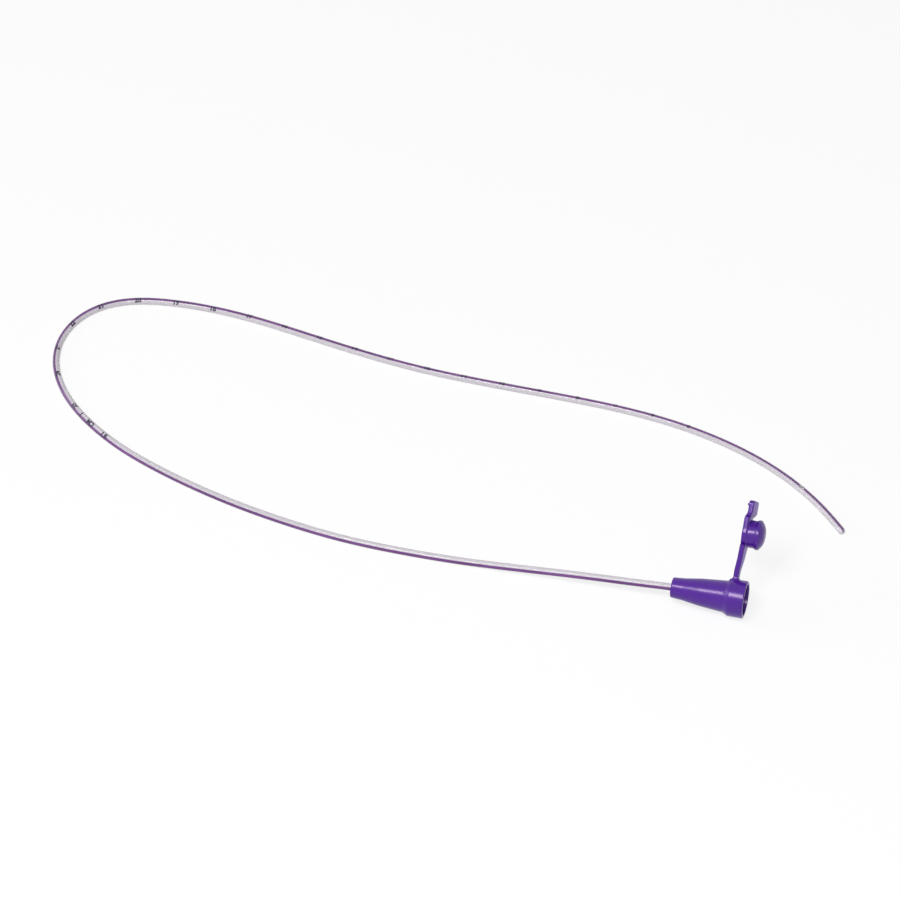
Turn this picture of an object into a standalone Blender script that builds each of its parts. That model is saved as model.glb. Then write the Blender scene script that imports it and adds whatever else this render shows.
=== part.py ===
"""Feeding tube: a soft clear tube with two side eyes behind its closed tip, bonded into a moulded
funnel connector whose push-in cap hangs on a strap. It lies on a table as it comes to rest."""

import math

import bmesh
import bpy
import numpy as np
from mathutils import Matrix, Vector

MM = 0.001

# Funnel connector, measured along its axis from the nose, where the tube goes in
FUNNEL_LENGTH = 18.5 * MM
NOSE_OD = 5.0 * MM
WAIST_AT = 3.0 * MM
WAIST_OD = 5.5 * MM
SHOULDER_AT = 7.0 * MM
SHOULDER_OD = 6.75 * MM
CONE_END_OD = 7.95 * MM
COLLAR_LENGTH = 5.1 * MM
COLLAR_SHOULDER = 1.2 * MM
COLLAR_OD = 9.3 * MM
COLLAR_BORE = 7.8 * MM
COLLAR_BORE_DEPTH = 3.2 * MM
CONE_WALL = 0.8 * MM
CAVITY_DEPTH = 12.2 * MM
FLOOR_DEPTH = 0.8 * MM
THROAT_OD = 1.3 * MM
SOCKET_DEPTH = 5.0 * MM
EDGE_ROUND = 0.35 * MM
SOFT_ROUND = 6.0 * MM
STEP_ROUND = 0.6 * MM

# Tube
TUBE_OD = 1.85 * MM
TUBE_WALL = 0.35 * MM
TIP_LENGTH = 2.0 * MM
EYE_LENGTH = 1.9 * MM
EYE_WIDTH = 0.8 * MM
EYE_FROM_TIP = 18.4 * MM
EYE_SPACING = 7.0 * MM
EYE_ANGLE = math.radians(88)

# Strap and cap
STRAP_LEAN = math.radians(45)
STRAP_SETBACK = 3.25 * MM
STRAP_STUB = 2.0 * MM
STRAP_ROOT_WIDTH = 2.6 * MM
STRAP_TOP_WIDTH = 6.6 * MM
STRAP_THICKNESS = 1.3 * MM
LINK_RISE = 0.35 * MM
CAP_RISE = 0.15 * MM
LEDGE_FROM_PLUG = 3.0 * MM
LEDGE_LENGTH = 0.35 * MM
ROOT_FILLET = 0.7 * MM
BAND_ROUND = 0.35 * MM
PLATE_OD = 7.2 * MM
PLUG_NECK_OD = 6.8 * MM
PLUG_RING_OD = 7.4 * MM
PLUG_RING_AT = 2.5 * MM
PLUG_RING_WIDTH = 0.7 * MM
PLUG_LENGTH = 4.15 * MM
PLUG_NOSE_OD = 5.4 * MM
PLUG_NOSE_LENGTH = 0.5 * MM
PLUG_END_OD = 2.8 * MM
TAB_REACH = 8.1 * MM
TAB_START = 4.0 * MM
TAB_WIDTH = 9.2 * MM
TAB_NECK_WIDTH = 7.0 * MM
TAB_CORNER = 1.0 * MM
TAB_BEND = 0.7 * MM
TAB_BEND_START = 3.5 * MM
TAB_BEND_LENGTH = 1.7 * MM
RIB_FROM_END = 1.1 * MM
RIB_WIDTH = 1.0 * MM
RIB_HEIGHT = 0.35 * MM

# Clearances
SOCKET_GAP = 0.15 * MM
SEAT_GAP = 0.3 * MM
FOLD_GAP = 0.35 * MM
CLOSED_GAP = 0.4 * MM

# Route of the tube from the nose: the stretch that comes down from the nose to the table, then
# the loop on the table, whose points have the tube's own radius as their height
DESCENT = ((-6, 0, 4.3), (-20, 0, 3.45), (-34, 0, 2.4), (-46, 0, 1.5), (-56, 0, 1.0))
LOOP = (
    (-66, 0), (-83.9, 0.9), (-97.7, 3.0), (-111.4, 6.1), (-124.8, 10.2), (-136, 14.5),
    (-146.7, 19.7), (-155.1, 25.2), (-162.6, 31.8), (-168.1, 38.9), (-171.8, 47.1),
    (-172.8, 55.1), (-171.1, 63), (-166.7, 69.5), (-159.3, 73.9), (-149.4, 75.8),
    (-137.3, 75.9), (-123.5, 74.2), (-108.8, 71.3), (-94, 68.5), (-80.1, 66.6), (-66.2, 65.7),
    (-52.2, 65.3), (-38.2, 64.9), (-25.2, 64), (-13.4, 62.2), (-1.8, 59.1), (8.5, 55),
    (17.2, 50.2), (24.5, 44.9), (30.3, 39.6), (36.2, 33.2),
)
ROUTE_STEP = 5.6 * MM

# Fineness
TURN_STEPS = 48
SCREW_MERGE = 1e-7
ARC_STEP = math.radians(30)
BAND_STEP = 0.5 * MM

# What follows from the sizes above
COLLAR_R = COLLAR_OD / 2
AXIS_HEIGHT = COLLAR_R
NOSE_X = -FUNNEL_LENGTH
FOLD_X = STRAP_THICKNESS / 2 - STRAP_SETBACK
FOLD_RADIUS = COLLAR_R + STRAP_STUB
LINK_LENGTH = CLOSED_GAP - FOLD_X + CAP_RISE
PLUG_DROP = FOLD_RADIUS - LINK_RISE
CAP_FOLD_RADIUS = FOLD_RADIUS + LINK_LENGTH
LEDGE_RADIUS = CAP_FOLD_RADIUS + PLUG_DROP - LEDGE_FROM_PLUG

SOFT_PVC = dict(color=(0.13, 0.045, 0.34, 1), roughness=0.35)
CLEAR_PVC = dict(color=(0.78, 0.74, 0.80, 1), roughness=0.25)


def clear_scene():
    for obj in list(bpy.data.objects):
        bpy.data.objects.remove(obj, do_unlink=True)


def new_collection(name):
    collection = bpy.data.collections.new(name)
    bpy.context.scene.collection.children.link(collection)
    return collection


def material(name, color, roughness):
    mat = bpy.data.materials.new(name)
    mat.use_nodes = True
    shader = mat.node_tree.nodes["Principled BSDF"]
    shader.inputs["Base Color"].default_value = color
    shader.inputs["Roughness"].default_value = roughness
    shader.inputs["Metallic"].default_value = 0
    return mat


def add_object(name, data, collection, parent=None):
    obj = bpy.data.objects.new(name, data)
    collection.objects.link(obj)
    obj.parent = parent
    return obj


def mesh_from_bmesh(name, bm):
    bmesh.ops.recalc_face_normals(bm, faces=bm.faces)
    mesh = bpy.data.meshes.new(name)
    bm.to_mesh(mesh)
    bm.free()
    mesh.shade_smooth()
    mesh.set_sharp_from_angle(angle=math.radians(35))
    return mesh


def hide_helper(obj):
    obj.hide_render = True
    obj.display_type = "WIRE"


def boolean(obj, other, operation):
    modifier = obj.modifiers.new(operation.lower(), "BOOLEAN")
    modifier.operation = operation
    modifier.object = other


def rounded_outline(corners, closed):
    """Points of an outline given as (radius, height, rounding): each corner is an arc."""
    points = []
    count = len(corners)
    for i, (r, z, rounding) in enumerate(corners):
        here = np.array((r, z))
        is_end = not closed and i in (0, count - 1)
        if rounding == 0 or is_end:
            points.append(here)
            continue
        before = np.array(corners[i - 1][:2]) - here
        after = np.array(corners[(i + 1) % count][:2]) - here
        reach = 0.48 * min(np.linalg.norm(before), np.linalg.norm(after))
        before /= np.linalg.norm(before)
        after /= np.linalg.norm(after)
        half = math.acos(np.clip(before @ after, -1, 1)) / 2
        radius = min(rounding, reach * math.tan(half))
        middle = (before + after) / np.linalg.norm(before + after)
        centre = here + middle * radius / math.sin(half)
        start = here + before * radius / math.tan(half) - centre
        end = here + after * radius / math.tan(half) - centre
        turn = math.pi - 2 * half
        steps = max(2, math.ceil(turn / ARC_STEP))
        for k in range(steps + 1):
            t = k / steps
            arm = start * math.sin((1 - t) * turn) + end * math.sin(t * turn)
            points.append(centre + arm / math.sin(turn))
    return points


def turned(name, corners, closed, collection, parent=None):
    """A turned solid: its axis is local Z, and the outline goes down its outer side."""
    points = rounded_outline(corners, closed)
    verts = [(r, 0, z) for r, z in points]
    edges = [(i, i + 1) for i in range(len(verts) - 1)]
    if closed:
        edges.append((len(verts) - 1, 0))
    mesh = bpy.data.meshes.new(name)
    mesh.from_pydata(verts, edges, [])
    obj = add_object(name, mesh, collection, parent)
    screw = obj.modifiers.new("turn", "SCREW")
    screw.axis = "Z"
    screw.angle = 2 * math.pi
    screw.steps = TURN_STEPS
    screw.render_steps = TURN_STEPS
    screw.use_merge_vertices = True
    screw.merge_threshold = SCREW_MERGE
    return obj


def loft(name, rings):
    """A closed solid through rings of equally many points."""
    bm = bmesh.new()
    rows = [[bm.verts.new(point) for point in ring] for ring in rings]
    for low, high in zip(rows, rows[1:]):
        for i in range(len(low)):
            j = (i + 1) % len(low)
            bm.faces.new((low[i], low[j], high[j], high[i]))
    bm.faces.new(rows[0])
    bm.faces.new(rows[-1])
    return mesh_from_bmesh(name, bm)


def band_ring(z, width, front, back):
    """Section of the strap at height z, from x = back to x = front, with round edges."""
    rounding = min(BAND_ROUND, 0.45 * (front - back), 0.45 * width)
    ring = []
    corners = ((front, width / 2, 0), (back, width / 2, 1), (back, -width / 2, 2),
               (front, -width / 2, 3))
    for x, y, quarter in corners:
        centre_x = x - math.copysign(rounding, x - (front + back) / 2)
        centre_y = y - math.copysign(rounding, y)
        for k in range(4):
            angle = math.pi / 2 * (quarter + k / 3)
            ring.append(Vector((centre_x + rounding * math.cos(angle),
                                centre_y + rounding * math.sin(angle), z)))
    return ring


def smooth_step(value):
    value = min(max(value, 0), 1)
    return value * value * (3 - 2 * value)


def strap_width(radius):
    """Width of the strap at a distance from the funnel's axis: a taper from root to ledge."""
    share = (radius - COLLAR_R) / (LEDGE_RADIUS - COLLAR_R)
    return STRAP_ROOT_WIDTH + (STRAP_TOP_WIDTH - STRAP_ROOT_WIDTH) * share


def round_ended(z, start, end, half_width, corner):
    """Half width at z of a rectangle from start to end with round corners, or none outside."""
    inside = min(z - start, end - z)
    if inside < 0:
        return 0
    if inside >= corner:
        return half_width
    return half_width - corner + math.sqrt(corner ** 2 - (corner - inside) ** 2)


def cap_width(z):
    """Width of the cap's band at height z: strap, round plate, neck and thumb tab."""
    from_plug = z - PLUG_DROP
    plate_r = PLATE_OD / 2
    parts = [0]
    over_ledge = from_plug + LEDGE_FROM_PLUG
    if over_ledge < LEDGE_LENGTH:
        ledge = smooth_step(over_ledge / LEDGE_LENGTH) * strap_width(LEDGE_RADIUS) / 2
        parts.append(strap_width(CAP_FOLD_RADIUS + min(z, PLUG_DROP - LEDGE_FROM_PLUG)) / 2 - ledge)
    if abs(from_plug) < plate_r:
        parts.append(math.sqrt(plate_r ** 2 - from_plug ** 2))
    if 0 <= from_plug <= TAB_START + TAB_CORNER:
        parts.append(TAB_NECK_WIDTH / 2)
    parts.append(round_ended(from_plug, TAB_START, TAB_REACH, TAB_WIDTH / 2, TAB_CORNER))
    return 2 * max(parts)


def cap_band():
    """Rings of the cap's band, from the fold over the plate to the end of the thumb tab."""
    low = FOLD_GAP / 2
    high = PLUG_DROP + TAB_REACH
    ledge = PLUG_DROP - LEDGE_FROM_PLUG
    levels = [low + (ledge - low) * share for share in (0, 0.25, 0.5, 0.75)]
    levels += [ledge + LEDGE_LENGTH * share for share in (0, 0.3, 0.7)]
    steps = math.ceil((high - ledge - LEDGE_LENGTH) / BAND_STEP)
    levels += np.linspace(ledge + LEDGE_LENGTH, high, steps + 1).tolist()
    rings = []
    for z in levels:
        from_plug = z - PLUG_DROP
        front = CAP_RISE * smooth_step(z / ledge)
        front += TAB_BEND * smooth_step((from_plug - TAB_BEND_START) / TAB_BEND_LENGTH)
        rib_offset = abs(TAB_REACH - RIB_FROM_END - from_plug) / (RIB_WIDTH / 2)
        rib = RIB_HEIGHT * (1 - smooth_step(rib_offset))
        rings.append(band_ring(z, cap_width(z), front, front - STRAP_THICKNESS - rib))
    return rings


def make_funnel(collection, cutters, frame):
    """Funnel, collar and the strap's root, moulded in one. Local Z runs from nose to mouth."""
    mouth = FUNNEL_LENGTH
    collar_z = mouth - COLLAR_LENGTH
    cavity_z = mouth - CAVITY_DEPTH
    throat_z = cavity_z - FLOOR_DEPTH
    bore_end_z = mouth - COLLAR_BORE_DEPTH
    slope = (CONE_END_OD - SHOULDER_OD) / 2 / (collar_z - SHOULDER_AT)
    cavity_r = SHOULDER_OD / 2 + slope * (cavity_z - SHOULDER_AT) - CONE_WALL
    inner_collar_r = CONE_END_OD / 2 - CONE_WALL
    socket_r = TUBE_OD / 2 + SOCKET_GAP
    outline = [
        (COLLAR_R, mouth, EDGE_ROUND),
        (COLLAR_R, collar_z + COLLAR_SHOULDER, STEP_ROUND),
        (CONE_END_OD / 2, collar_z, STEP_ROUND),
        (SHOULDER_OD / 2, SHOULDER_AT, SOFT_ROUND),
        (WAIST_OD / 2, WAIST_AT, SOFT_ROUND),
        (NOSE_OD / 2, 0, EDGE_ROUND),
        (socket_r, 0, 0),
        (socket_r, SOCKET_DEPTH, 0),
        (THROAT_OD / 2, SOCKET_DEPTH, 0),
        (THROAT_OD / 2, throat_z, 0),
        (cavity_r, cavity_z, EDGE_ROUND),
        (inner_collar_r, collar_z, SOFT_ROUND),
        (COLLAR_BORE / 2 - EDGE_ROUND / 2, bore_end_z, SOFT_ROUND),
        (COLLAR_BORE / 2, mouth, EDGE_ROUND / 3),
    ]
    funnel = turned("funnel_connector", outline, True, collection, frame)
    funnel.rotation_euler = (0, math.pi / 2, 0)
    funnel.location = (NOSE_X, 0, 0)

    foot = COLLAR_BORE / 2 + (COLLAR_R - COLLAR_BORE / 2) / 4
    top = FOLD_RADIUS - FOLD_GAP / 2
    flare_start = COLLAR_R - ROOT_FILLET / 3
    heights = [foot] + [flare_start + ROOT_FILLET * k / 5 for k in range(6)] + [top]
    rings = []
    for z in heights:
        fall = min(max((z - flare_start) / ROOT_FILLET, 0), 1)
        flare = ROOT_FILLET * (1 - math.sqrt(1 - (1 - fall) ** 2))
        width = strap_width(z) + 2 * flare
        rings.append(band_ring(z, width, FOLD_X + flare, FOLD_X - STRAP_THICKNESS - flare))
    root = add_object("strap_root", loft("strap_root", rings), cutters, frame)
    root.rotation_euler = (-STRAP_LEAN, 0, 0)
    hide_helper(root)
    boolean(funnel, root, "UNION")
    return funnel


def make_strap(collection, lean_frame):
    """The strap's middle stretch, with its origin on the fold at the funnel."""
    low = FOLD_GAP / 2
    high = LINK_LENGTH - FOLD_GAP / 2
    rings = []
    for z in (low, high):
        front = LINK_RISE * z / LINK_LENGTH
        rings.append(band_ring(z, strap_width(FOLD_RADIUS + z), front, front - STRAP_THICKNESS))
    strap = add_object("cap_strap", loft("cap_strap", rings), collection, lean_frame)
    strap.location = (FOLD_X, 0, FOLD_RADIUS)
    return strap


def make_cap(collection, cutters, lean_frame):
    """Upper strap, plate, thumb tab and plug, with its origin on the fold at the strap."""
    place = Vector((FOLD_X + LINK_RISE, 0, CAP_FOLD_RADIUS))
    cap = add_object("cap", loft("cap", cap_band()), collection, lean_frame)
    cap.location = place
    ring_half = PLUG_RING_WIDTH / 2
    outline = [
        (0, PLUG_LENGTH, 0),
        (PLUG_END_OD / 2, PLUG_LENGTH, SOFT_ROUND),
        (PLUG_NOSE_OD / 2, PLUG_LENGTH - PLUG_NOSE_LENGTH, SOFT_ROUND),
        (PLUG_RING_OD / 2, PLUG_RING_AT + ring_half, EDGE_ROUND),
        (PLUG_RING_OD / 2, PLUG_RING_AT - ring_half, EDGE_ROUND),
        (PLUG_NECK_OD / 2, PLUG_RING_AT - 2 * ring_half, EDGE_ROUND),
        (PLUG_NECK_OD / 2, -STRAP_THICKNESS / 2, 0),
        (0, -STRAP_THICKNESS / 2, 0),
    ]
    plug = turned("plug", outline, False, cutters, lean_frame)
    plug.rotation_euler = (0, math.pi / 2, 0)
    plug.location = place + Vector((CAP_RISE, 0, PLUG_DROP))
    hide_helper(plug)
    boolean(cap, plug, "UNION")
    return cap


def route_points():
    """The route's own points in metres, from the tube's end in its socket to its tip."""
    nose = Vector((NOSE_X, 0, 0))
    seat = SOCKET_DEPTH - SEAT_GAP
    points = [Vector((seat, 0, AXIS_HEIGHT)), Vector((seat / 2, 0, AXIS_HEIGHT)),
              Vector((0, 0, AXIS_HEIGHT))]
    points += [Vector(point) * MM for point in DESCENT]
    points += [Vector((x * MM, y * MM, TUBE_OD / 2)) for x, y in LOOP]
    return np.array([nose + point for point in points])


def smooth_curve(points, at=None):
    """Natural cubic spline through points by chord length: places at the given distances, or
    the whole length when none are given."""
    spans = np.linalg.norm(np.diff(points, axis=0), axis=1)
    knots = np.concatenate([[0], np.cumsum(spans)])
    count = len(points)
    system = np.eye(count)
    target = np.zeros((count, 3))
    for i in range(1, count - 1):
        system[i, i - 1] = spans[i - 1]
        system[i, i] = 2 * (spans[i - 1] + spans[i])
        system[i, i + 1] = spans[i]
        rise = (points[i + 1] - points[i]) / spans[i]
        fall = (points[i] - points[i - 1]) / spans[i - 1]
        target[i] = 6 * (rise - fall)
    bend = np.linalg.solve(system, target)
    if at is None:
        return knots[-1]
    i = np.clip(np.searchsorted(knots, at, side="right") - 1, 0, count - 2)
    h = spans[i][:, None]
    t = (at - knots[i])[:, None]
    u = h - t
    cubic = (bend[i] * u ** 3 + bend[i + 1] * t ** 3) / (6 * h)
    start = (points[i] / h - bend[i] * h / 6) * u
    end = (points[i + 1] / h - bend[i + 1] * h / 6) * t
    return cubic + start + end


def swept(name, points, radius, factors, collection):
    """A round rod along points as a closed mesh: a bevelled curve with its caps welded."""
    curve = bpy.data.curves.new(name + "_line", "CURVE")
    curve.dimensions = "3D"
    curve.bevel_depth = radius
    curve.bevel_resolution = 2
    curve.use_fill_caps = True
    spline = curve.splines.new("POLY")
    spline.points.add(len(points) - 1)
    for spot, point, factor in zip(spline.points, points, factors):
        spot.co = (*point, 1)
        spot.radius = factor
    line = add_object(name + "_line", curve, collection)
    bpy.context.view_layer.update()
    evaluated = line.evaluated_get(bpy.context.evaluated_depsgraph_get())
    mesh = bpy.data.meshes.new_from_object(evaluated)
    bpy.data.objects.remove(line, do_unlink=True)
    bm = bmesh.new()
    bm.from_mesh(mesh)
    bmesh.ops.remove_doubles(bm, verts=bm.verts, dist=1e-6)
    bpy.data.meshes.remove(mesh)
    return add_object(name, mesh_from_bmesh(name, bm), collection)


def make_eye(name, route, total, from_tip, side, cutters):
    """Cutter of one eye: an oval through one wall, on the given side of the tube."""
    ends = smooth_curve(route, np.array([total - from_tip, total - from_tip + MM]))
    centre = Vector(ends[0])
    along = (Vector(ends[1]) - centre).normalized()
    outward = Vector((0, 0, 1)).cross(along)
    out = side * (outward * math.cos(EYE_ANGLE) + Vector((0, 0, 1)) * math.sin(EYE_ANGLE))
    depth = TUBE_OD
    bm = bmesh.new()
    bmesh.ops.create_cone(bm, cap_ends=True, segments=16, radius1=EYE_WIDTH / 2,
                          radius2=EYE_WIDTH / 2, depth=depth)
    bmesh.ops.scale(bm, verts=bm.verts, vec=(EYE_LENGTH / EYE_WIDTH, 1, 1))
    turn = Matrix((along, out.cross(along), out)).transposed()
    bmesh.ops.transform(bm, verts=bm.verts, matrix=turn.to_4x4())
    bmesh.ops.translate(bm, verts=bm.verts, vec=centre + out * depth / 2)
    eye = add_object(name, mesh_from_bmesh(name, bm), cutters)
    hide_helper(eye)
    return eye


def make_tube(collection, cutters, origin):
    """The tube: open in its socket, bored to just short of its round tip, with two eyes."""
    route = route_points()
    total = smooth_curve(route)
    radius = TUBE_OD / 2
    body = np.linspace(0, total - radius, round(total / ROUTE_STEP))
    rounding = total - radius + radius * np.array([0.5, 0.8, 0.95])
    at = np.concatenate([body, rounding])
    factors = np.sqrt(1 - np.clip((at - total + radius) / radius, 0, 1) ** 2)
    line = smooth_curve(route, at)
    line[:, 2] = np.maximum(line[:, 2], radius)
    tube = swept("feeding_tube", line, radius, factors, collection)

    bore_points = line[at < total - TIP_LENGTH]
    entry = bore_points[0] + (bore_points[0] - bore_points[1]) / 2
    bore_points = np.vstack([entry, bore_points[1:]])
    bore = swept("lumen", bore_points, radius - TUBE_WALL, np.ones(len(bore_points)), cutters)
    hide_helper(bore)
    boolean(tube, bore, "DIFFERENCE")
    for i, side in enumerate((1, -1)):
        from_tip = EYE_FROM_TIP - i * EYE_SPACING
        eye = make_eye(f"eye_{i + 1}", route, total, from_tip, side, cutters)
        eye.parent = origin
        boolean(tube, eye, "DIFFERENCE")
    bore.parent = origin
    tube.parent = origin
    return tube


def stand_on_origin(origin, pieces):
    """Move the whole object so that the connector and cap stand centred on the origin."""
    bpy.context.view_layer.update()
    graph = bpy.context.evaluated_depsgraph_get()
    corners = []
    for piece in pieces:
        evaluated = piece.evaluated_get(graph)
        mesh = evaluated.to_mesh()
        corners += [evaluated.matrix_world @ vertex.co for vertex in mesh.vertices]
        evaluated.to_mesh_clear()
    low = [min(corner[i] for corner in corners) for i in range(3)]
    high = [max(corner[i] for corner in corners) for i in range(3)]
    origin.location = (-(low[0] + high[0]) / 2, -(low[1] + high[1]) / 2, -low[2])


def main():
    clear_scene()
    collection = new_collection("feeding_tube")
    cutters = new_collection("cutters")
    origin = add_object("origin", None, collection)
    frame = add_object("funnel_axis", None, collection, origin)
    frame.location = (0, 0, AXIS_HEIGHT)
    lean_frame = add_object("strap_plane", None, collection, frame)
    lean_frame.rotation_euler = (-STRAP_LEAN, 0, 0)

    funnel = make_funnel(collection, cutters, frame)
    strap = make_strap(collection, lean_frame)
    cap = make_cap(collection, cutters, lean_frame)
    tube = make_tube(collection, cutters, origin)
    purple = material("purple_soft_pvc", **SOFT_PVC)
    for obj in (funnel, strap, cap):
        obj.data.materials.append(purple)
    tube.data.materials.append(material("clear_pvc", **CLEAR_PVC))
    stand_on_origin(origin, (funnel, strap, cap))


main()
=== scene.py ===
"""Looks of the feeding tube: a clear soft tube with a purple line, printed centimetres and side
eyes, its moulded funnel connector and tethered cap, on a white table under soft studio light."""

import math

import bmesh
import bpy
import numpy as np
from mathutils import Matrix, Vector


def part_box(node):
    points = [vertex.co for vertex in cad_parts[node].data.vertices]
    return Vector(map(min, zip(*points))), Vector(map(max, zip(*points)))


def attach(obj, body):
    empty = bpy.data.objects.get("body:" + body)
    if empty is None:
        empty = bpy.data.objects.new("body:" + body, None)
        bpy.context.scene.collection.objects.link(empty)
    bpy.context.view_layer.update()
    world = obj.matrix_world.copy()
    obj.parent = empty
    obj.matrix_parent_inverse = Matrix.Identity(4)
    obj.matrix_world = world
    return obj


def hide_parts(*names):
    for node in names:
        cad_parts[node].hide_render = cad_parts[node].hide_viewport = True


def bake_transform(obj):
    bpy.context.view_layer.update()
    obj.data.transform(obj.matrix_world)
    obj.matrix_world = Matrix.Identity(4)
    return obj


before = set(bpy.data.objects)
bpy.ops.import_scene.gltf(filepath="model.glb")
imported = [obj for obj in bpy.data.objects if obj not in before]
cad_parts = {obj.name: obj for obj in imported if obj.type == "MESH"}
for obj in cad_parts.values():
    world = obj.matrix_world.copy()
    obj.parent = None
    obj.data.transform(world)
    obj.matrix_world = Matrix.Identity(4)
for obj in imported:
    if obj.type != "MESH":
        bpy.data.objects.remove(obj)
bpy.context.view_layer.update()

MM = 0.001

# Funnel connector, measured along its axis from the nose, as in the CAD
COLLAR_OD = 9.3 * MM
NOSE_OD = 5.0 * MM
WAIST_AT = 3.0 * MM
WAIST_OD = 5.5 * MM
SHOULDER_AT = 7.0 * MM
SHOULDER_OD = 6.75 * MM
CONE_END_OD = 7.95 * MM
COLLAR_LENGTH = 5.1 * MM
COLLAR_SHOULDER = 1.2 * MM
COLLAR_BORE = 7.8 * MM
COLLAR_BORE_DEPTH = 3.2 * MM
CONE_WALL = 0.8 * MM
CAVITY_DEPTH = 12.2 * MM
FLOOR_DEPTH = 0.8 * MM
THROAT_OD = 1.3 * MM
SOCKET_DEPTH = 5.0 * MM
SOCKET_GAP = 0.15 * MM
EDGE_ROUND = 0.35 * MM
SOFT_ROUND = 6.0 * MM
STEP_ROUND = 0.6 * MM

# Strap and cap
STRAP_LEAN = math.radians(45)
STRAP_SETBACK = 3.25 * MM
STRAP_STUB = 2.0 * MM
STRAP_ROOT_WIDTH = 2.6 * MM
STRAP_TOP_WIDTH = 6.6 * MM
STRAP_THICKNESS = 1.3 * MM
LINK_RISE = 0.35 * MM
CAP_RISE = 0.15 * MM
LEDGE_FROM_PLUG = 3.0 * MM
LEDGE_LENGTH = 0.35 * MM
ROOT_FILLET = 0.7 * MM
ROOT_SINK = 0.3 * MM
BAND_ROUND = 0.35 * MM
CLOSED_GAP = 0.4 * MM
PLATE_OD = 7.2 * MM
PLUG_NECK_OD = 6.8 * MM
PLUG_RING_OD = 7.4 * MM
PLUG_RING_AT = 2.5 * MM
PLUG_RING_WIDTH = 0.7 * MM
PLUG_LENGTH = 4.15 * MM
PLUG_NOSE_OD = 5.4 * MM
PLUG_NOSE_LENGTH = 0.5 * MM
PLUG_END_OD = 2.8 * MM
PLUG_FILLET = 0.2 * MM
TAB_REACH = 8.1 * MM
TAB_START = 4.0 * MM
TAB_WIDTH = 9.2 * MM
TAB_NECK_WIDTH = 7.0 * MM
TAB_CORNER = 1.0 * MM
TAB_BEND = 0.7 * MM
TAB_BEND_START = 3.5 * MM
TAB_BEND_LENGTH = 1.7 * MM
RIB_FROM_END = 1.1 * MM
RIB_WIDTH = 1.0 * MM
RIB_HEIGHT = 0.35 * MM
SEAM_HEIGHT = 2.4 * MM

# Tube
TUBE_OD = 1.85 * MM
TUBE_WALL = 0.35 * MM
TIP_LENGTH = 2.0 * MM
SEAT_GAP = 0.3 * MM
EYE_LENGTH = 2.1 * MM
EYE_WIDTH = 1.0 * MM
EYE_FROM_TIP = 18.4 * MM
EYE_SPACING = 7.0 * MM
EYE_ANGLE = math.radians(88)

# Route of the tube from the nose, in millimetres: down to the table, then the loop on it
DESCENT = ((-6, 0, 4.3), (-20, 0, 3.45), (-34, 0, 2.4), (-46, 0, 1.5), (-56, 0, 1.0))
LOOP = (
    (-66, 0), (-83.9, 0.9), (-97.7, 3.0), (-111.4, 6.1), (-124.8, 10.2), (-136, 14.5),
    (-146.7, 19.7), (-155.1, 25.2), (-162.6, 31.8), (-168.1, 38.9), (-171.8, 47.1),
    (-172.8, 55.1), (-171.1, 63), (-166.7, 69.5), (-159.3, 73.9), (-149.4, 75.8),
    (-137.3, 75.9), (-123.5, 74.2), (-108.8, 71.3), (-94, 68.5), (-80.1, 66.6), (-66.2, 65.7),
    (-52.2, 65.3), (-38.2, 64.9), (-25.2, 64), (-13.4, 62.2), (-1.8, 59.1), (8.5, 55),
    (17.2, 50.2), (24.5, 44.9), (30.3, 39.6), (36.2, 33.2),
)

# The purple line in the tube's wall: (mm from the nose, degrees above the outer side)
LINE_TURN = (
    (0, 5), (100, 7), (130, 9), (150, 14), (183, 51), (211, 98), (250, 97), (350, 97), (375, 94),
    (400, 90), (430, 84),
)
LINE_SPREAD = ((0, 60), (150, 56), (190, 46), (430, 40))
LINE_FACES = 5

# The print: its turn by distance from the nose, as the line's, and its words by mm from the tip
PRINT_TURN = (
    (140, 45), (150, 52), (181, 84), (202, 104), (222, 120), (232, 124), (242, 122), (252, 100),
    (262, 84), (430, 80),
)
PRINT_HEIGHT = 1.35 * MM
PRINT_STRETCH = 1.05
PRINT_BOLD = 0.05
PRINT_INK = 0.03 * MM
PRINT_SLICES = 8
NUMBERS = range(5, 25)
NUMBER_ZERO_FROM_TIP = 4.3 * MM
OTHER_PRINT = (("25", 257.5), ("I", 261.1), ("CM", 265.2), ("II I", 271.0))

# Fineness; SAME_LETTER_POINT is in the font's own units
TURN_STEPS = 96
ARC_STEP = math.radians(12)
ARC_REACH = 0.48
ROUND_SHARE = 0.45
BAND_STEP = 0.15 * MM
CORNER_STEPS = 5
TUBE_STEP = 1.2 * MM
TUBE_SIDES = 36
TIP_STEPS = 8
EYE_STEPS = 40
ROUTE_STEP = 0.1 * MM
SHARP_ANGLE = math.radians(40)
SAME_POINT = 1e-7
SAME_LETTER_POINT = 1e-5

# Camera and light
CAMERA_AZIMUTH = math.radians(14.17)
CAMERA_ELEVATION = math.radians(42.5)
CAMERA_DISTANCE = 1.5
CAMERA_AIM = Vector((-84.5, 39.8, 0)) * MM
SENSOR = 36.0
LENS = 238.2
KEY_DISTANCE = 1.1
KEY_SIZE = (0.76, 0.31)
KEY_LEAN = math.radians(27)
KEY_SIDE = -0.24
KEY_POWER = 10.6
SIDE_DISTANCE = 1.4
SIDE_SIZE = 0.66
SIDE_POWER = 4.0
SIDE_WAY = Vector((-0.93, -0.05, 0.36))
AMBIENT = 0.22
FLOOR_SIZE = 6.0
FLOOR_WHITE = (0.95, 0.95, 0.95)
FLOOR_GLOW = 0.8

# The part of a noise's range that its colour and gloss are spread over
NOISE_LOW = 0.3
NOISE_HIGH = 0.7

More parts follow.
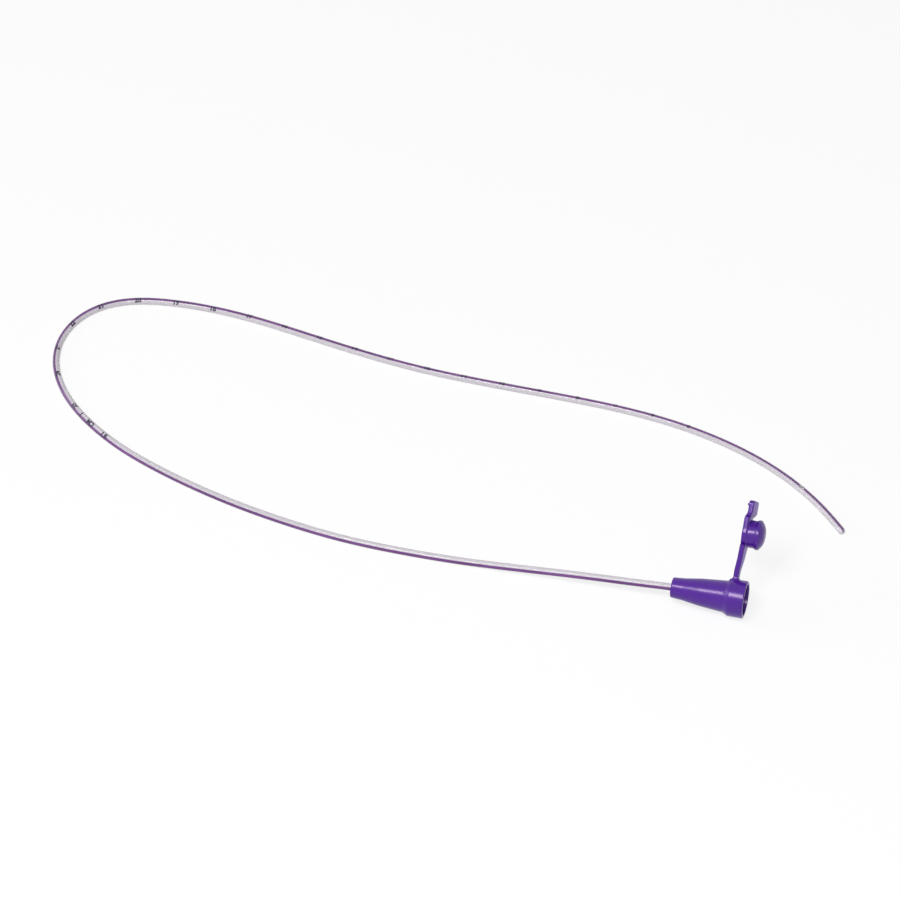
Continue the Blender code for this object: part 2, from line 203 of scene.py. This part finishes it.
# What follows from the sizes above and from the frame
CONNECTOR_LOW = Vector(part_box("funnel_connector")[0])
CONNECTOR_HIGH = Vector(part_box("funnel_connector")[1])
COLLAR_R = COLLAR_OD / 2
FUNNEL_LENGTH = CONNECTOR_HIGH.x - CONNECTOR_LOW.x
NOSE = Vector((CONNECTOR_LOW.x, CONNECTOR_LOW.y + COLLAR_R, CONNECTOR_LOW.z + COLLAR_R))
MOUTH = NOSE + Vector((FUNNEL_LENGTH, 0, 0))
FOLD_X = STRAP_THICKNESS / 2 - STRAP_SETBACK
FOLD_RADIUS = COLLAR_R + STRAP_STUB
LINK_LENGTH = CLOSED_GAP - FOLD_X + CAP_RISE
PLUG_DROP = FOLD_RADIUS - LINK_RISE
CAP_FOLD_RADIUS = FOLD_RADIUS + LINK_LENGTH
LEDGE_RADIUS = CAP_FOLD_RADIUS + PLUG_DROP - LEDGE_FROM_PLUG
SOCKET_SEAT = SOCKET_DEPTH - SEAT_GAP
UP = Vector((0, 0, 1))
LEAN = Matrix.Translation(MOUTH) @ Matrix.Rotation(-STRAP_LEAN, 4, "X")
ALONG_AXIS = Matrix.Rotation(math.pi / 2, 4, "Y")


# Meshes

def shade(mesh):
    """Smooth shading, but for the sharp edges."""
    mesh.shade_smooth()
    mesh.set_sharp_from_angle(angle=SHARP_ANGLE)


def finish_mesh(name, bm, materials, place=None):
    """A named object from a bmesh, smooth but for its sharp edges, placed in the frame."""
    bmesh.ops.recalc_face_normals(bm, faces=bm.faces)
    mesh = bpy.data.meshes.new(name)
    bm.to_mesh(mesh)
    bm.free()
    if place is not None:
        mesh.transform(place)
    shade(mesh)
    for mat in materials:
        mesh.materials.append(mat)
    obj = bpy.data.objects.new(name, mesh)
    bpy.context.scene.collection.objects.link(obj)
    return obj


def combine(obj, others, operation):
    """Join other objects to this one, or cut them out of it, and delete them."""
    for other in others:
        modifier = obj.modifiers.new(operation.lower(), "BOOLEAN")
        modifier.operation = operation
        modifier.object = other
    bpy.context.view_layer.update()
    evaluated = obj.evaluated_get(bpy.context.evaluated_depsgraph_get())
    mesh = bpy.data.meshes.new_from_object(evaluated)
    obj.modifiers.clear()
    old = obj.data
    obj.data = mesh
    bpy.data.meshes.remove(old)
    mesh.name = obj.name
    for other in others:
        bpy.data.objects.remove(other, do_unlink=True)
    shade(mesh)
    return obj


def rounded_outline(corners, closed):
    """Points of an outline given as (radius, height, rounding): each corner is an arc."""
    points = []
    count = len(corners)
    for i, (r, z, rounding) in enumerate(corners):
        here = np.array((r, z))
        is_end = not closed and i in (0, count - 1)
        if rounding == 0 or is_end:
            points.append(here)
            continue
        before = np.array(corners[i - 1][:2]) - here
        after = np.array(corners[(i + 1) % count][:2]) - here
        reach = ARC_REACH * min(np.linalg.norm(before), np.linalg.norm(after))
        before /= np.linalg.norm(before)
        after /= np.linalg.norm(after)
        half = math.acos(np.clip(before @ after, -1, 1)) / 2
        radius = min(rounding, reach * math.tan(half))
        middle = (before + after) / np.linalg.norm(before + after)
        centre = here + middle * radius / math.sin(half)
        start = here + before * radius / math.tan(half) - centre
        end = here + after * radius / math.tan(half) - centre
        turn = math.pi - 2 * half
        steps = max(3, math.ceil(turn / ARC_STEP))
        for k in range(steps + 1):
            t = k / steps
            arm = start * math.sin((1 - t) * turn) + end * math.sin(t * turn)
            points.append(centre + arm / math.sin(turn))
    return points


def turned(corners, closed):
    """A turned solid about local Z as a bmesh."""
    bm = bmesh.new()
    points = rounded_outline(corners, closed)
    verts = [bm.verts.new((r, 0, z)) for r, z in points]
    pairs = list(zip(verts, verts[1:]))
    if closed:
        pairs.append((verts[-1], verts[0]))
    edges = [bm.edges.new(pair) for pair in pairs]
    bmesh.ops.spin(bm, geom=verts + edges, axis=(0, 0, 1), cent=(0, 0, 0),
                   angle=2 * math.pi, steps=TURN_STEPS)
    bmesh.ops.remove_doubles(bm, verts=bm.verts, dist=SAME_POINT)
    return bm


def loft(rings):
    """A closed solid through rings of equally many points, as a bmesh. The side between a
    ring's last point and its first, the front of a strap, gets the second material."""
    bm = bmesh.new()
    rows = [[bm.verts.new(point) for point in ring] for ring in rings]
    for low, high in zip(rows, rows[1:]):
        for i in range(len(low)):
            j = (i + 1) % len(low)
            face = bm.faces.new((low[i], low[j], high[j], high[i]))
            face.material_index = 1 if j == 0 else 0
    bm.faces.new(rows[0])
    bm.faces.new(rows[-1])
    return bm


def smooth_step(value):
    value = min(max(value, 0), 1)
    return value * value * (3 - 2 * value)


# Strap and cap, in the strap's own plane: X out of the mouth, Z up the strap from the axis

def band_ring(z, width, front, back):
    """Section of the strap at height z, from x = back to x = front, with round edges."""
    rounding = min(BAND_ROUND, ROUND_SHARE * (front - back), ROUND_SHARE * width)
    ring = []
    corners = ((front, width / 2, 0), (back, width / 2, 1), (back, -width / 2, 2),
               (front, -width / 2, 3))
    for x, y, quarter in corners:
        centre_x = x - math.copysign(rounding, x - (front + back) / 2)
        centre_y = y - math.copysign(rounding, y)
        for k in range(CORNER_STEPS + 1):
            angle = math.pi / 2 * (quarter + k / CORNER_STEPS)
            ring.append(Vector((centre_x + rounding * math.cos(angle),
                                centre_y + rounding * math.sin(angle), z)))
    return ring


def heights(low, high, step=BAND_STEP):
    return np.linspace(low, high, math.ceil((high - low) / step) + 1)


def strap_width(radius):
    """Width of the strap at a distance from the funnel's axis: a taper from root to ledge."""
    share = (radius - COLLAR_R) / (LEDGE_RADIUS - COLLAR_R)
    return STRAP_ROOT_WIDTH + (STRAP_TOP_WIDTH - STRAP_ROOT_WIDTH) * share


def round_ended(z, start, end, half_width, corner):
    """Half width at z of a rectangle from start to end with round corners, or none outside."""
    inside = min(z - start, end - z)
    if inside < 0:
        return 0
    if inside >= corner:
        return half_width
    return half_width - corner + math.sqrt(corner ** 2 - (corner - inside) ** 2)


def cap_width(z):
    """Width of the cap's band at height z: strap, round plate, neck and thumb tab."""
    from_plug = z - PLUG_DROP
    plate_r = PLATE_OD / 2
    parts = [0]
    over_ledge = from_plug + LEDGE_FROM_PLUG
    if over_ledge < LEDGE_LENGTH:
        ledge = smooth_step(over_ledge / LEDGE_LENGTH) * strap_width(LEDGE_RADIUS) / 2
        radius = CAP_FOLD_RADIUS + min(z, PLUG_DROP - LEDGE_FROM_PLUG)
        parts.append(strap_width(radius) / 2 - ledge)
    if abs(from_plug) < plate_r:
        parts.append(math.sqrt(plate_r ** 2 - from_plug ** 2))
    if 0 <= from_plug <= TAB_START + TAB_CORNER:
        parts.append(TAB_NECK_WIDTH / 2)
    parts.append(round_ended(from_plug, TAB_START, TAB_REACH, TAB_WIDTH / 2, TAB_CORNER))
    return 2 * max(parts)


def cap_front(z):
    """How far the band's front stands forward of the strap's root at height z over the fold."""
    rise = LINK_RISE * (1 + min(z / LINK_LENGTH, 0))
    rise += CAP_RISE * smooth_step(z / (PLUG_DROP - LEDGE_FROM_PLUG))
    over_plug = z - PLUG_DROP
    return rise + TAB_BEND * smooth_step((over_plug - TAB_BEND_START) / TAB_BEND_LENGTH)


def cap_ring(z):
    """The cap's section at height z over its fold. Its free end is rounded all round."""
    from_plug = z - PLUG_DROP
    front = cap_front(z)
    rib_offset = abs(TAB_REACH - RIB_FROM_END - from_plug) / (RIB_WIDTH / 2)
    rib = RIB_HEIGHT * (1 - smooth_step(rib_offset))
    to_end = min(TAB_REACH - from_plug, BAND_ROUND)
    inset = BAND_ROUND - math.sqrt(BAND_ROUND ** 2 - (BAND_ROUND - to_end) ** 2)
    back = front - STRAP_THICKNESS - rib
    ring = band_ring(z, cap_width(z) - 2 * inset, front - inset, back + inset)
    return [point + Vector((FOLD_X, 0, CAP_FOLD_RADIUS)) for point in ring]


def make_cap(mat, painted_light_front):
    """Upper strap from the seam, plate, thumb tab and plug."""
    top = PLUG_DROP + TAB_REACH
    ledge = PLUG_DROP - LEDGE_FROM_PLUG
    levels = list(heights(SEAM_HEIGHT, ledge))
    levels += list(heights(ledge, ledge + LEDGE_LENGTH, LEDGE_LENGTH / 6))[1:-1]
    levels += list(heights(ledge + LEDGE_LENGTH, top - BAND_ROUND))
    levels += [top - BAND_ROUND * (1 - math.sin(k * math.pi / 10)) for k in range(1, 5)]
    levels.append(top - 0.01 * MM)
    cap = finish_mesh("cap_skin", loft([cap_ring(z) for z in levels]), [mat, painted_light_front], LEAN)
    ring_half = PLUG_RING_WIDTH / 2
    neck_r = PLUG_NECK_OD / 2
    outline = [
        (0, PLUG_LENGTH, 0),
        (PLUG_END_OD / 2, PLUG_LENGTH, SOFT_ROUND),
        (PLUG_NOSE_OD / 2, PLUG_LENGTH - PLUG_NOSE_LENGTH, SOFT_ROUND),
        (PLUG_RING_OD / 2, PLUG_RING_AT + ring_half, EDGE_ROUND),
        (PLUG_RING_OD / 2, PLUG_RING_AT - ring_half, EDGE_ROUND),
        (neck_r, PLUG_RING_AT - 2 * ring_half, EDGE_ROUND),
        (neck_r, PLUG_FILLET / 2, PLUG_FILLET),
        (neck_r + PLUG_FILLET, -PLUG_FILLET / 2, 0),
        (neck_r, -STRAP_THICKNESS / 2, 0),
        (0, -STRAP_THICKNESS / 2, 0),
    ]
    place = Matrix.Translation((FOLD_X + LINK_RISE + CAP_RISE, 0, CAP_FOLD_RADIUS + PLUG_DROP))
    plug = finish_mesh("plug", turned(outline, False), [mat], LEAN @ place @ ALONG_AXIS)
    return combine(cap, [plug], "UNION")


def make_upper_strap(mat, painted_light_front):
    """The strap from the middle of its link to the seam under the plate."""
    low = -LINK_LENGTH / 2
    place = Vector((FOLD_X, 0, CAP_FOLD_RADIUS))
    rings = []
    for z in heights(low, SEAM_HEIGHT):
        front = cap_front(z)
        ring = band_ring(z, strap_width(CAP_FOLD_RADIUS + z), front, front - STRAP_THICKNESS)
        rings.append([point + place for point in ring])
    return finish_mesh("strap_upper", loft(rings), [mat, painted_light_front], LEAN)


def make_lower_strap(mat, painted_light_front):
    """The strap from its root, which flares into the round collar, to the middle of its link."""
    rings = []
    for lift in heights(-ROOT_SINK, FOLD_RADIUS + LINK_LENGTH / 2 - COLLAR_R):
        fall = min(max(lift / ROOT_FILLET, 0), 1)
        flare = ROOT_FILLET * (1 - math.sqrt(1 - (1 - fall) ** 2))
        over_fold = max(COLLAR_R + lift - FOLD_RADIUS, 0)
        front = FOLD_X + LINK_RISE * over_fold / LINK_LENGTH
        ring = band_ring(0, strap_width(COLLAR_R + lift) + 2 * flare, front + flare,
                         front - STRAP_THICKNESS - flare)
        roundness = 1 - smooth_step(lift / STRAP_STUB)
        for point in ring:
            drop = COLLAR_R - math.sqrt(COLLAR_R ** 2 - point.y ** 2)
            point.z = COLLAR_R + lift - drop * roundness
        rings.append(ring)
    return finish_mesh("strap_lower", loft(rings), [mat, painted_light_front], LEAN)


def make_connector(mat):
    """Funnel and collar with their bore, in one turned skin."""
    mouth = FUNNEL_LENGTH
    collar_z = mouth - COLLAR_LENGTH
    cavity_z = mouth - CAVITY_DEPTH
    slope = (CONE_END_OD - SHOULDER_OD) / 2 / (collar_z - SHOULDER_AT)
    cavity_r = SHOULDER_OD / 2 + slope * (cavity_z - SHOULDER_AT) - CONE_WALL
    socket_r = TUBE_OD / 2 + SOCKET_GAP
    outline = [
        (COLLAR_R, mouth, EDGE_ROUND),
        (COLLAR_R, collar_z + COLLAR_SHOULDER, STEP_ROUND),
        (CONE_END_OD / 2, collar_z, STEP_ROUND),
        (SHOULDER_OD / 2, SHOULDER_AT, SOFT_ROUND),
        (WAIST_OD / 2, WAIST_AT, SOFT_ROUND),
        (NOSE_OD / 2, 0, EDGE_ROUND),
        (socket_r, 0, 0),
        (socket_r, SOCKET_DEPTH, 0),
        (THROAT_OD / 2, SOCKET_DEPTH, 0),
        (THROAT_OD / 2, cavity_z - FLOOR_DEPTH, 0),
        (cavity_r, cavity_z, EDGE_ROUND),
        (CONE_END_OD / 2 - CONE_WALL, collar_z, SOFT_ROUND),
        (COLLAR_BORE / 2 - EDGE_ROUND / 2, mouth - COLLAR_BORE_DEPTH, SOFT_ROUND),
        (COLLAR_BORE / 2, mouth, EDGE_ROUND / 3),
    ]
    place = Matrix.Translation(NOSE) @ ALONG_AXIS
    return finish_mesh("connector_skin", turned(outline, True), [mat], place)


# Tube

def route_points():
    """The route's own points in metres, from the tube's end in its socket to its tip."""
    points = [(SOCKET_SEAT, 0, NOSE.z), (SOCKET_SEAT / 2, 0, NOSE.z), (0, 0, NOSE.z)]
    points += [Vector(point) * MM for point in DESCENT]
    points += [(x * MM, y * MM, TUBE_OD / 2) for x, y in LOOP]
    return np.array([Vector((NOSE.x, NOSE.y, 0)) + Vector(point) for point in points])


def smooth_curve(points, at=None):
    """Natural cubic spline through points by chord length: places at the given distances, or
    the whole length when none are given."""
    spans = np.linalg.norm(np.diff(points, axis=0), axis=1)
    knots = np.concatenate([[0], np.cumsum(spans)])
    count = len(points)
    system = np.eye(count)
    target = np.zeros((count, 3))
    for i in range(1, count - 1):
        system[i, i - 1] = spans[i - 1]
        system[i, i] = 2 * (spans[i - 1] + spans[i])
        system[i, i + 1] = spans[i]
        rise = (points[i + 1] - points[i]) / spans[i]
        fall = (points[i] - points[i - 1]) / spans[i - 1]
        target[i] = 6 * (rise - fall)
    bend = np.linalg.solve(system, target)
    if at is None:
        return knots[-1]
    i = np.clip(np.searchsorted(knots, at, side="right") - 1, 0, count - 2)
    h = spans[i][:, None]
    t = (at - knots[i])[:, None]
    u = h - t
    cubic = (bend[i] * u ** 3 + bend[i + 1] * t ** 3) / (6 * h)
    start = (points[i] / h - bend[i] * h / 6) * u
    end = (points[i + 1] / h - bend[i + 1] * h / 6) * t
    return cubic + start + end


class Route:
    """The tube's centreline, with the directions and turns that its parts need."""

    def __init__(self):
        self.points = route_points()
        self.length = float(smooth_curve(self.points))

    def places(self, at):
        line = smooth_curve(self.points, np.asarray(at, float))
        line[:, 2] = np.maximum(line[:, 2], TUBE_OD / 2)
        return line

    def frame(self, at):
        """Centre, direction towards the tip, outer side of the loop and upper side there."""
        around = [at - ROUTE_STEP, at, at + ROUTE_STEP]
        before, here, after = (Vector(point) for point in self.places(around))
        along = (after - before).normalized()
        outward = UP.cross(along).normalized()
        return here, along, outward, along.cross(outward)

    def turn(self, at, table):
        """Angle above the outer side, from a table by distance from the nose."""
        distances = [row[0] * MM + SOCKET_SEAT for row in table]
        return math.radians(np.interp(at, distances, [row[1] for row in table]))


def tube_ring(route, at, radius):
    """A ring of the tube. Its first faces lie on the purple line."""
    here, _, outward, upper = route.frame(at)
    spread = route.turn(at, LINE_SPREAD)
    start = route.turn(at, LINE_TURN) - spread / 2
    end = start + spread
    angles = list(np.linspace(start, end, LINE_FACES + 1))
    clear_angles = np.linspace(end, start + 2 * math.pi, TUBE_SIDES - LINE_FACES + 1)
    angles += list(clear_angles)[1:-1]
    ring = []
    for angle in angles:
        out = outward * math.cos(angle) + upper * math.sin(angle)
        ring.append(here + out * float(radius))
    return ring


def tube_shell(body_end, radius):
    """Distances and radii of a tube's rings, with a round end of that radius after body_end."""
    body = np.linspace(0, body_end, round(body_end / TUBE_STEP) + 1)
    turns = np.linspace(0, math.pi / 2, TIP_STEPS + 1)[1:-1]
    at = np.concatenate([body, body_end + radius * np.sin(turns)])
    radii = np.concatenate([np.full(len(body), radius), radius * np.cos(turns)])
    return at, radii


def make_tube(route, clear, purple):
    """The clear tube with its lumen, closed round tip, purple line and two side eyes."""
    outer_r = TUBE_OD / 2
    inner_r = outer_r - TUBE_WALL
    bm = bmesh.new()
    shells = []
    for end, radius in ((route.length, outer_r), (route.length - TIP_LENGTH, inner_r)):
        at, radii = tube_shell(end - radius, radius)
        rows = [[bm.verts.new(p) for p in tube_ring(route, d, r)] for d, r in zip(at, radii)]
        pole = bm.verts.new(route.frame(end)[0])
        for low, high in zip(rows, rows[1:]):
            for k in range(TUBE_SIDES):
                j = (k + 1) % TUBE_SIDES
                face = bm.faces.new((low[k], low[j], high[j], high[k]))
                face.material_index = 1 if k < LINE_FACES else 0
        for k in range(TUBE_SIDES):
            face = bm.faces.new((rows[-1][k], rows[-1][(k + 1) % TUBE_SIDES], pole))
            face.material_index = 1 if k < LINE_FACES else 0
        shells.append(rows[0])
    for k in range(TUBE_SIDES):
        j = (k + 1) % TUBE_SIDES
        bm.faces.new((shells[0][k], shells[0][j], shells[1][j], shells[1][k]))
    tube = finish_mesh("tube_skin", bm, [clear, purple])
    eyes = [make_eye(route, i, side, clear) for i, side in enumerate((1, -1))]
    return combine(tube, eyes, "DIFFERENCE")


def make_eye(route, index, side, mat):
    """Cutter of one eye: an oval through one wall, on the given side of the tube."""
    at = route.length - EYE_FROM_TIP + index * EYE_SPACING
    here, along, outward, upper = route.frame(at)
    out = side * (outward * math.cos(EYE_ANGLE) + upper * math.sin(EYE_ANGLE))
    bm = bmesh.new()
    bmesh.ops.create_cone(bm, cap_ends=True, segments=EYE_STEPS, radius1=EYE_WIDTH / 2,
                          radius2=EYE_WIDTH / 2, depth=TUBE_OD)
    bmesh.ops.scale(bm, verts=bm.verts, vec=(EYE_LENGTH / EYE_WIDTH, 1, 1))
    turn = Matrix((along, out.cross(along), out)).transposed().to_4x4()
    place = Matrix.Translation(here + out * TUBE_OD / 2) @ turn
    return finish_mesh(f"eye_{index + 1}", bm, [mat], place)


# Printed centimetres

def flat_text(text):
    """The text as a thin mesh, PRINT_HEIGHT high and centred, cut into slices so that it can
    wrap round the tube."""
    curve = bpy.data.curves.new("print_text", "FONT")
    curve.body = text
    curve.align_x = "CENTER"
    curve.extrude = 0.5
    curve.offset = PRINT_BOLD
    obj = bpy.data.objects.new("print_text", curve)
    bpy.context.scene.collection.objects.link(obj)
    bpy.context.view_layer.update()
    evaluated = obj.evaluated_get(bpy.context.evaluated_depsgraph_get())
    mesh = bpy.data.meshes.new_from_object(evaluated)
    bpy.data.objects.remove(obj, do_unlink=True)
    bpy.data.curves.remove(curve)
    bm = bmesh.new()
    bm.from_mesh(mesh)
    bpy.data.meshes.remove(mesh)
    bmesh.ops.remove_doubles(bm, verts=bm.verts, dist=SAME_LETTER_POINT)
    low = min(v.co.y for v in bm.verts)
    high = max(v.co.y for v in bm.verts)
    scale = PRINT_HEIGHT / (high - low)
    for vert in bm.verts:
        vert.co = Vector((vert.co.x * scale * PRINT_STRETCH,
                          (vert.co.y - (low + high) / 2) * scale, vert.co.z * PRINT_INK))
    for k in range(1, PRINT_SLICES):
        level = PRINT_HEIGHT * (k / PRINT_SLICES - 0.5)
        geometry = bm.verts[:] + bm.edges[:] + bm.faces[:]
        bmesh.ops.bisect_plane(bm, geom=geometry, plane_co=(0, level, 0), plane_no=(0, 1, 0),
                               dist=SAME_POINT)
    return bm


def wrap_text(bm, route, at):
    """Lay a flat text on the tube, reading towards the tip, its top towards the outer side."""
    turn = route.turn(at, PRINT_TURN)
    radius = TUBE_OD / 2
    for vert in bm.verts:
        here, _, outward, upper = route.frame(at + vert.co.x)
        angle = turn - vert.co.y / radius
        out = outward * math.cos(angle) + upper * math.sin(angle)
        vert.co = here + out * (radius + vert.co.z)


def make_numbers(route, ink):
    """All printed centimetres in one mesh, counted from the tip."""
    joined = bmesh.new()
    words = [(str(n), NUMBER_ZERO_FROM_TIP + n * 10 * MM) for n in NUMBERS]
    words += [(word, from_tip * MM) for word, from_tip in OTHER_PRINT]
    for word, from_tip in words:
        bm = flat_text(word)
        wrap_text(bm, route, route.length - from_tip)
        mesh = bpy.data.meshes.new("number")
        bm.to_mesh(mesh)
        bm.free()
        joined.from_mesh(mesh)
        bpy.data.meshes.remove(mesh)
    return finish_mesh("printed_numbers", joined, [ink])


# Materials

def new_material(name, color, roughness):
    mat = bpy.data.materials.new(name)
    mat.use_nodes = True
    shader = mat.node_tree.nodes["Principled BSDF"]
    shader.inputs["Base Color"].default_value = (*color, 1)
    shader.inputs["Roughness"].default_value = roughness
    return mat, mat.node_tree, shader


def noise(tree, scale, detail=3):
    """A noise over the object's own coordinates, in metres."""
    coordinates = tree.nodes.new("ShaderNodeTexCoord")
    texture = tree.nodes.new("ShaderNodeTexNoise")
    texture.inputs["Scale"].default_value = scale
    texture.inputs["Detail"].default_value = detail
    tree.links.new(coordinates.outputs["Object"], texture.inputs["Vector"])
    return texture.outputs["Fac"]


def vary_color(tree, shader, fac, dark, light):
    ramp = tree.nodes.new("ShaderNodeValToRGB")
    ramp.color_ramp.elements[0].position = NOISE_LOW
    ramp.color_ramp.elements[1].position = NOISE_HIGH
    ramp.color_ramp.elements[0].color = (*dark, 1)
    ramp.color_ramp.elements[1].color = (*light, 1)
    tree.links.new(fac, ramp.inputs["Fac"])
    tree.links.new(ramp.outputs["Color"], shader.inputs["Base Color"])


def vary_roughness(tree, shader, fac, low, high):
    spread = tree.nodes.new("ShaderNodeMapRange")
    spread.inputs["From Min"].default_value = NOISE_LOW
    spread.inputs["From Max"].default_value = NOISE_HIGH
    spread.inputs["To Min"].default_value = low
    spread.inputs["To Max"].default_value = high
    tree.links.new(fac, spread.inputs["Value"])
    tree.links.new(spread.outputs["Result"], shader.inputs["Roughness"])


def add_bump(tree, shader, fac, depth):
    bump = tree.nodes.new("ShaderNodeBump")
    bump.inputs["Distance"].default_value = depth
    bump.inputs["Strength"].default_value = 1
    tree.links.new(fac, bump.inputs["Height"])
    tree.links.new(bump.outputs["Normal"], shader.inputs["Normal"])


def purple_moulding(name, dark, light, roughness):
    """Soft violet PVC as moulded: a faint cloud in its colour, fine orange peel, and satin gloss
    or, on the front of strap and tab, a matte finish with lighter colours that are painted
    sheen."""
    mat, tree, shader = new_material(name, dark, roughness)
    shader.inputs["Specular Tint"].default_value = (1, 0.82, 0.92, 1)
    vary_color(tree, shader, noise(tree, 220), dark, light)
    vary_roughness(tree, shader, noise(tree, 600), roughness - 0.02, roughness + 0.02)
    add_bump(tree, shader, noise(tree, 2600, 2), 0.0008 * MM)
    return mat


def clear_pvc():
    """Clear soft PVC, slightly milky."""
    mat, tree, shader = new_material("clear_pvc", (0.74, 0.7, 0.755), 0.12)
    shader.inputs["Transmission Weight"].default_value = 0.3
    shader.inputs["IOR"].default_value = 1.35
    vary_roughness(tree, shader, noise(tree, 300), 0.1, 0.14)
    return mat


def purple_line():
    """The line extruded into the tube's wall."""
    mat, tree, shader = new_material("purple_line", (0.14, 0.04, 0.19), 0.2)
    vary_color(tree, shader, noise(tree, 120), (0.105, 0.028, 0.15), (0.175, 0.055, 0.235))
    return mat


def print_ink():
    mat, tree, shader = new_material("print_ink", (0.012, 0.006, 0.035), 0.4)
    vary_color(tree, shader, noise(tree, 1500), (0.008, 0.004, 0.025), (0.025, 0.014, 0.06))
    return mat


# Stage

def seen_share(tree, camera_share):
    """How much of a white background shows to a ray: all of it in and through the object, the
    given share straight to the camera, and none in the light that falls on the object."""
    path = tree.nodes.new("ShaderNodeLightPath")
    camera = tree.nodes.new("ShaderNodeMath")
    camera.operation = "MULTIPLY"
    camera.inputs[1].default_value = camera_share
    tree.links.new(path.outputs["Is Camera Ray"], camera.inputs[0])
    share = camera.outputs[0]
    for ray in ("Is Glossy Ray", "Is Transmission Ray"):
        add = tree.nodes.new("ShaderNodeMath")
        add.operation = "ADD"
        add.use_clamp = True
        tree.links.new(share, add.inputs[0])
        tree.links.new(path.outputs[ray], add.inputs[1])
        share = add.outputs[0]
    return share


def make_floor():
    """A white table that keeps a light shadow."""
    bm = bmesh.new()
    bmesh.ops.create_grid(bm, x_segments=1, y_segments=1, size=FLOOR_SIZE / 2)
    mat = bpy.data.materials.new("table")
    mat.use_nodes = True
    tree = mat.node_tree
    shader = tree.nodes["Principled BSDF"]
    shader.inputs["Base Color"].default_value = (*FLOOR_WHITE, 1)
    shader.inputs["Roughness"].default_value = 1
    shader.inputs["Specular IOR Level"].default_value = 0
    glow = tree.nodes.new("ShaderNodeEmission")
    mix = tree.nodes.new("ShaderNodeMixShader")
    tree.links.new(seen_share(tree, FLOOR_GLOW), mix.inputs[0])
    tree.links.new(shader.outputs[0], mix.inputs[1])
    tree.links.new(glow.outputs[0], mix.inputs[2])
    tree.links.new(mix.outputs[0], tree.nodes["Material Output"].inputs["Surface"])
    floor = finish_mesh("table", bm, [mat])


def add_area(name, location, aim, size, power):
    light = bpy.data.lights.new(name, "AREA")
    light.shape = "RECTANGLE"
    light.size, light.size_y = size
    light.energy = power
    obj = bpy.data.objects.new(name, light)
    bpy.context.scene.collection.objects.link(obj)
    obj.location = location
    obj.rotation_euler = (aim - location).to_track_quat("-Z", "Y").to_euler()


def make_lights():
    """A long soft box overhead, a smaller one low on the left, and an even white room."""
    toward_camera = Vector((math.sin(CAMERA_AZIMUTH), -math.cos(CAMERA_AZIMUTH), 0))
    right = Vector((math.cos(CAMERA_AZIMUTH), math.sin(CAMERA_AZIMUTH), 0))
    key_way = toward_camera * math.sin(KEY_LEAN) + UP * math.cos(KEY_LEAN) + right * KEY_SIDE
    key_place = MOUTH + key_way.normalized() * KEY_DISTANCE
    add_area("key", key_place, MOUTH, KEY_SIZE, KEY_POWER)
    side_place = MOUTH + SIDE_WAY.normalized() * SIDE_DISTANCE
    add_area("side", side_place, MOUTH, (SIDE_SIZE, SIDE_SIZE), SIDE_POWER)
    world = bpy.data.worlds.new("studio")
    world.use_nodes = True
    tree = world.node_tree
    background = tree.nodes["Background"]
    background.inputs["Color"].default_value = (1, 1, 1, 1)
    level = tree.nodes.new("ShaderNodeMapRange")
    level.inputs["To Min"].default_value = AMBIENT
    tree.links.new(seen_share(tree, 1), level.inputs["Value"])
    tree.links.new(level.outputs["Result"], background.inputs["Strength"])
    bpy.context.scene.world = world


def make_camera():
    """The photograph's view."""
    aim = Vector((MOUTH.x, MOUTH.y, 0)) + CAMERA_AIM
    back = Vector((math.sin(CAMERA_AZIMUTH) * math.cos(CAMERA_ELEVATION),
                   -math.cos(CAMERA_AZIMUTH) * math.cos(CAMERA_ELEVATION),
                   math.sin(CAMERA_ELEVATION)))
    data = bpy.data.cameras.new("camera")
    data.sensor_width = SENSOR
    data.lens = LENS
    camera = bpy.data.objects.new("camera", data)
    bpy.context.scene.collection.objects.link(camera)
    camera.location = aim + back * CAMERA_DISTANCE
    camera.rotation_euler = back.to_track_quat("Z", "Y").to_euler()
    bpy.context.scene.camera = camera


def dress_tube():
    """The cord and what is printed on it."""
    route = Route()
    tube = make_tube(route, clear_pvc(), purple_line())
    numbers = make_numbers(route, print_ink())
    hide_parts("feeding_tube")
    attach(tube, "connector")
    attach(numbers, "connector")
    path = route.places(np.linspace(0, route.length, round(route.length / TUBE_STEP)))


def dress_connector():
    """The moulding: rigid skins ride on their bodies, and the strap's two halves stay where they
    are built.
    """
    mat = purple_moulding("purple_moulding", (0.055, 0.006, 0.235), (0.066, 0.008, 0.265), 0.24)
    # Rougher copy of the moulding for the front of strap and tab, its colours painted lighter:
    # painted sheen
    painted_light_front = purple_moulding("purple_front_painted_light", (0.115, 0.032, 0.4), (0.13, 0.038, 0.44), 0.42)
    connector = make_connector(mat)
    cap = make_cap(mat, painted_light_front)
    lower = make_lower_strap(mat, painted_light_front)
    upper = make_upper_strap(mat, painted_light_front)
    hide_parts("funnel_connector")
    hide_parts("cap")
    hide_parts("cap_strap")
    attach(connector, "connector")
    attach(cap, "cap")
    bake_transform(lower)
    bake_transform(upper)


def main():
    scene = bpy.context.scene
    scene.view_settings.view_transform = "Standard"
    make_camera()
    dress_tube()
    dress_connector()
    make_floor()
    make_lights()


main()
